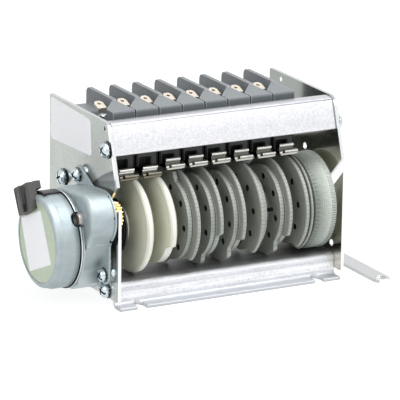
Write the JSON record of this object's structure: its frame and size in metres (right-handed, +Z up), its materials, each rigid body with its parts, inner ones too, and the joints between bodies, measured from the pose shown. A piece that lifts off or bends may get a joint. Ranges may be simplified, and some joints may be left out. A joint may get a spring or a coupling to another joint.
{
  "type": "cam timer",
  "caption": "Motor-driven cam timer: open folded steel frame, camshaft with adjustable cams, row of lever switches with spade terminals, small gearmotor on one end.",
  "frame": {"origin": "centre of the bounding box in plan, on the mounting surface", "axes": "+X along the camshaft away from the motor, +Y to the rear of the switches, +Z up from the mounting surface"},
  "size_m": [0.1802, 0.09, 0.0949],
  "materials": {
    "plate": "bright zinc-plated sheet steel",
    "shiny": "bright zinc or nickel plate",
    "motor": "bluish zinc plate",
    "resin": "pale green moulding",
    "dark_steel": "oiled dark steel",
    "connector": "dark grey moulding",
    "black": "black moulding",
    "brass": "machined",
    "ivory": "ivory acetal",
    "cam_grey": "grey acetal",
    "wheel": "mottled grey-green moulding",
    "case": "dark grey moulding",
    "terminal": "tinned copper alloy",
    "bronze": "sintered bronze"
  },
  "bodies": {
    "frame": {"left_end_plate": "plate", "right_end_plate": "plate", "base_pan": "plate", "front_rail": "plate", "tie_rod": "shiny", "stack_rods": "shiny", "frame_screws": "shiny", "left_bushing": "bronze", "right_bushing": "bronze", "motor_can": "motor", "motor_face": "resin", "insulator_strip": "black", "motor_connector": "connector", "gear_case": "motor", "output_bearing": "dark_steel", "motor_plate": "motor", "motor_spacers": "shiny", "motor_screws": "shiny", "switch_1": "case", "switch_2": "case", "switch_3": "case", "switch_4": "case", "switch_5": "case", "switch_6": "case", "switch_7": "case", "switch_8": "case", "spade_terminals": "terminal", "terminal_screws": "shiny", "lever_pins": "shiny"},
    "shaft_set": {"camshaft": "shiny", "shaft_gear": "brass", "black_drum": "black", "end_wheel": "wheel", "cam_1": "ivory", "cam_2": "ivory", "cam_3_left": "cam_grey", "cam_3_right": "cam_grey", "cam_4_left": "cam_grey", "cam_4_right": "cam_grey", "cam_5_left": "cam_grey", "cam_5_right": "cam_grey", "cam_6_left": "cam_grey", "cam_6_right": "cam_grey", "cam_7_left": "cam_grey", "cam_7_right": "cam_grey", "cam_8_left": "cam_grey", "cam_8_right": "cam_grey"},
    "output": {"output_pinion": "brass"},
    "lever_1_arm": {"lever_1": "shiny"},
    "lever_2_arm": {"lever_2": "shiny"},
    "lever_3_arm": {"lever_3": "shiny"},
    "lever_4_arm": {"lever_4": "shiny"},
    "lever_5_arm": {"lever_5": "shiny"},
    "lever_6_arm": {"lever_6": "shiny"},
    "lever_7_arm": {"lever_7": "shiny"},
    "lever_8_arm": {"lever_8": "shiny"}
  },
  "joints": [
    {"name": "camshaft_spin", "type": "hinge", "parent": "frame", "child": "shaft_set", "pos_m": [0.00645, -0.00795, 0.0368], "axis": [1, 0, 0], "continuous": true},
    {"name": "pinion_spin", "type": "hinge", "parent": "frame", "child": "output", "pos_m": [-0.0529, -0.02025, 0.04601], "axis": [1, 0, 0], "continuous": true},
    {"name": "lever_1_lift", "type": "hinge", "parent": "frame", "child": "lever_1_arm", "pos_m": [-0.04325, 0.01455, 0.0628], "axis": [1, 0, 0], "range_deg": [-1.5, 0], "stiffness_Nm_per_rad": 0.012, "springref_deg": 6.88},
    {"name": "lever_2_lift", "type": "hinge", "parent": "frame", "child": "lever_2_arm", "pos_m": [-0.03055, 0.01455, 0.0628], "axis": [1, 0, 0], "range_deg": [-1.5, 0], "stiffness_Nm_per_rad": 0.012, "springref_deg": 6.88},
    {"name": "lever_3_lift", "type": "hinge", "parent": "frame", "child": "lever_3_arm", "pos_m": [-0.01785, 0.01455, 0.0628], "axis": [1, 0, 0], "range_deg": [-1.5, 0], "stiffness_Nm_per_rad": 0.012, "springref_deg": 6.88},
    {"name": "lever_4_lift", "type": "hinge", "parent": "frame", "child": "lever_4_arm", "pos_m": [-0.00515, 0.01455, 0.0628], "axis": [1, 0, 0], "range_deg": [-1.5, 0], "stiffness_Nm_per_rad": 0.012, "springref_deg": 6.88},
    {"name": "lever_5_lift", "type": "hinge", "parent": "frame", "child": "lever_5_arm", "pos_m": [0.00755, 0.01455, 0.0628], "axis": [1, 0, 0], "range_deg": [-1.5, 0], "stiffness_Nm_per_rad": 0.012, "springref_deg": 6.88},
    {"name": "lever_6_lift", "type": "hinge", "parent": "frame", "child": "lever_6_arm", "pos_m": [0.02025, 0.01455, 0.0628], "axis": [1, 0, 0], "range_deg": [-1.5, 0], "stiffness_Nm_per_rad": 0.012, "springref_deg": 6.88},
    {"name": "lever_7_lift", "type": "hinge", "parent": "frame", "child": "lever_7_arm", "pos_m": [0.03295, 0.01455, 0.0628], "axis": [1, 0, 0], "range_deg": [-1.5, 0], "stiffness_Nm_per_rad": 0.012, "springref_deg": 6.88},
    {"name": "lever_8_lift", "type": "hinge", "parent": "frame", "child": "lever_8_arm", "pos_m": [0.04565, 0.01455, 0.0628], "axis": [1, 0, 0], "range_deg": [-1.5, 0], "stiffness_Nm_per_rad": 0.012, "springref_deg": 6.88}
  ],
  "couplings": [
    {"joint": "pinion_spin", "follows": "camshaft_spin", "ratio": -1.7059}
  ]
}
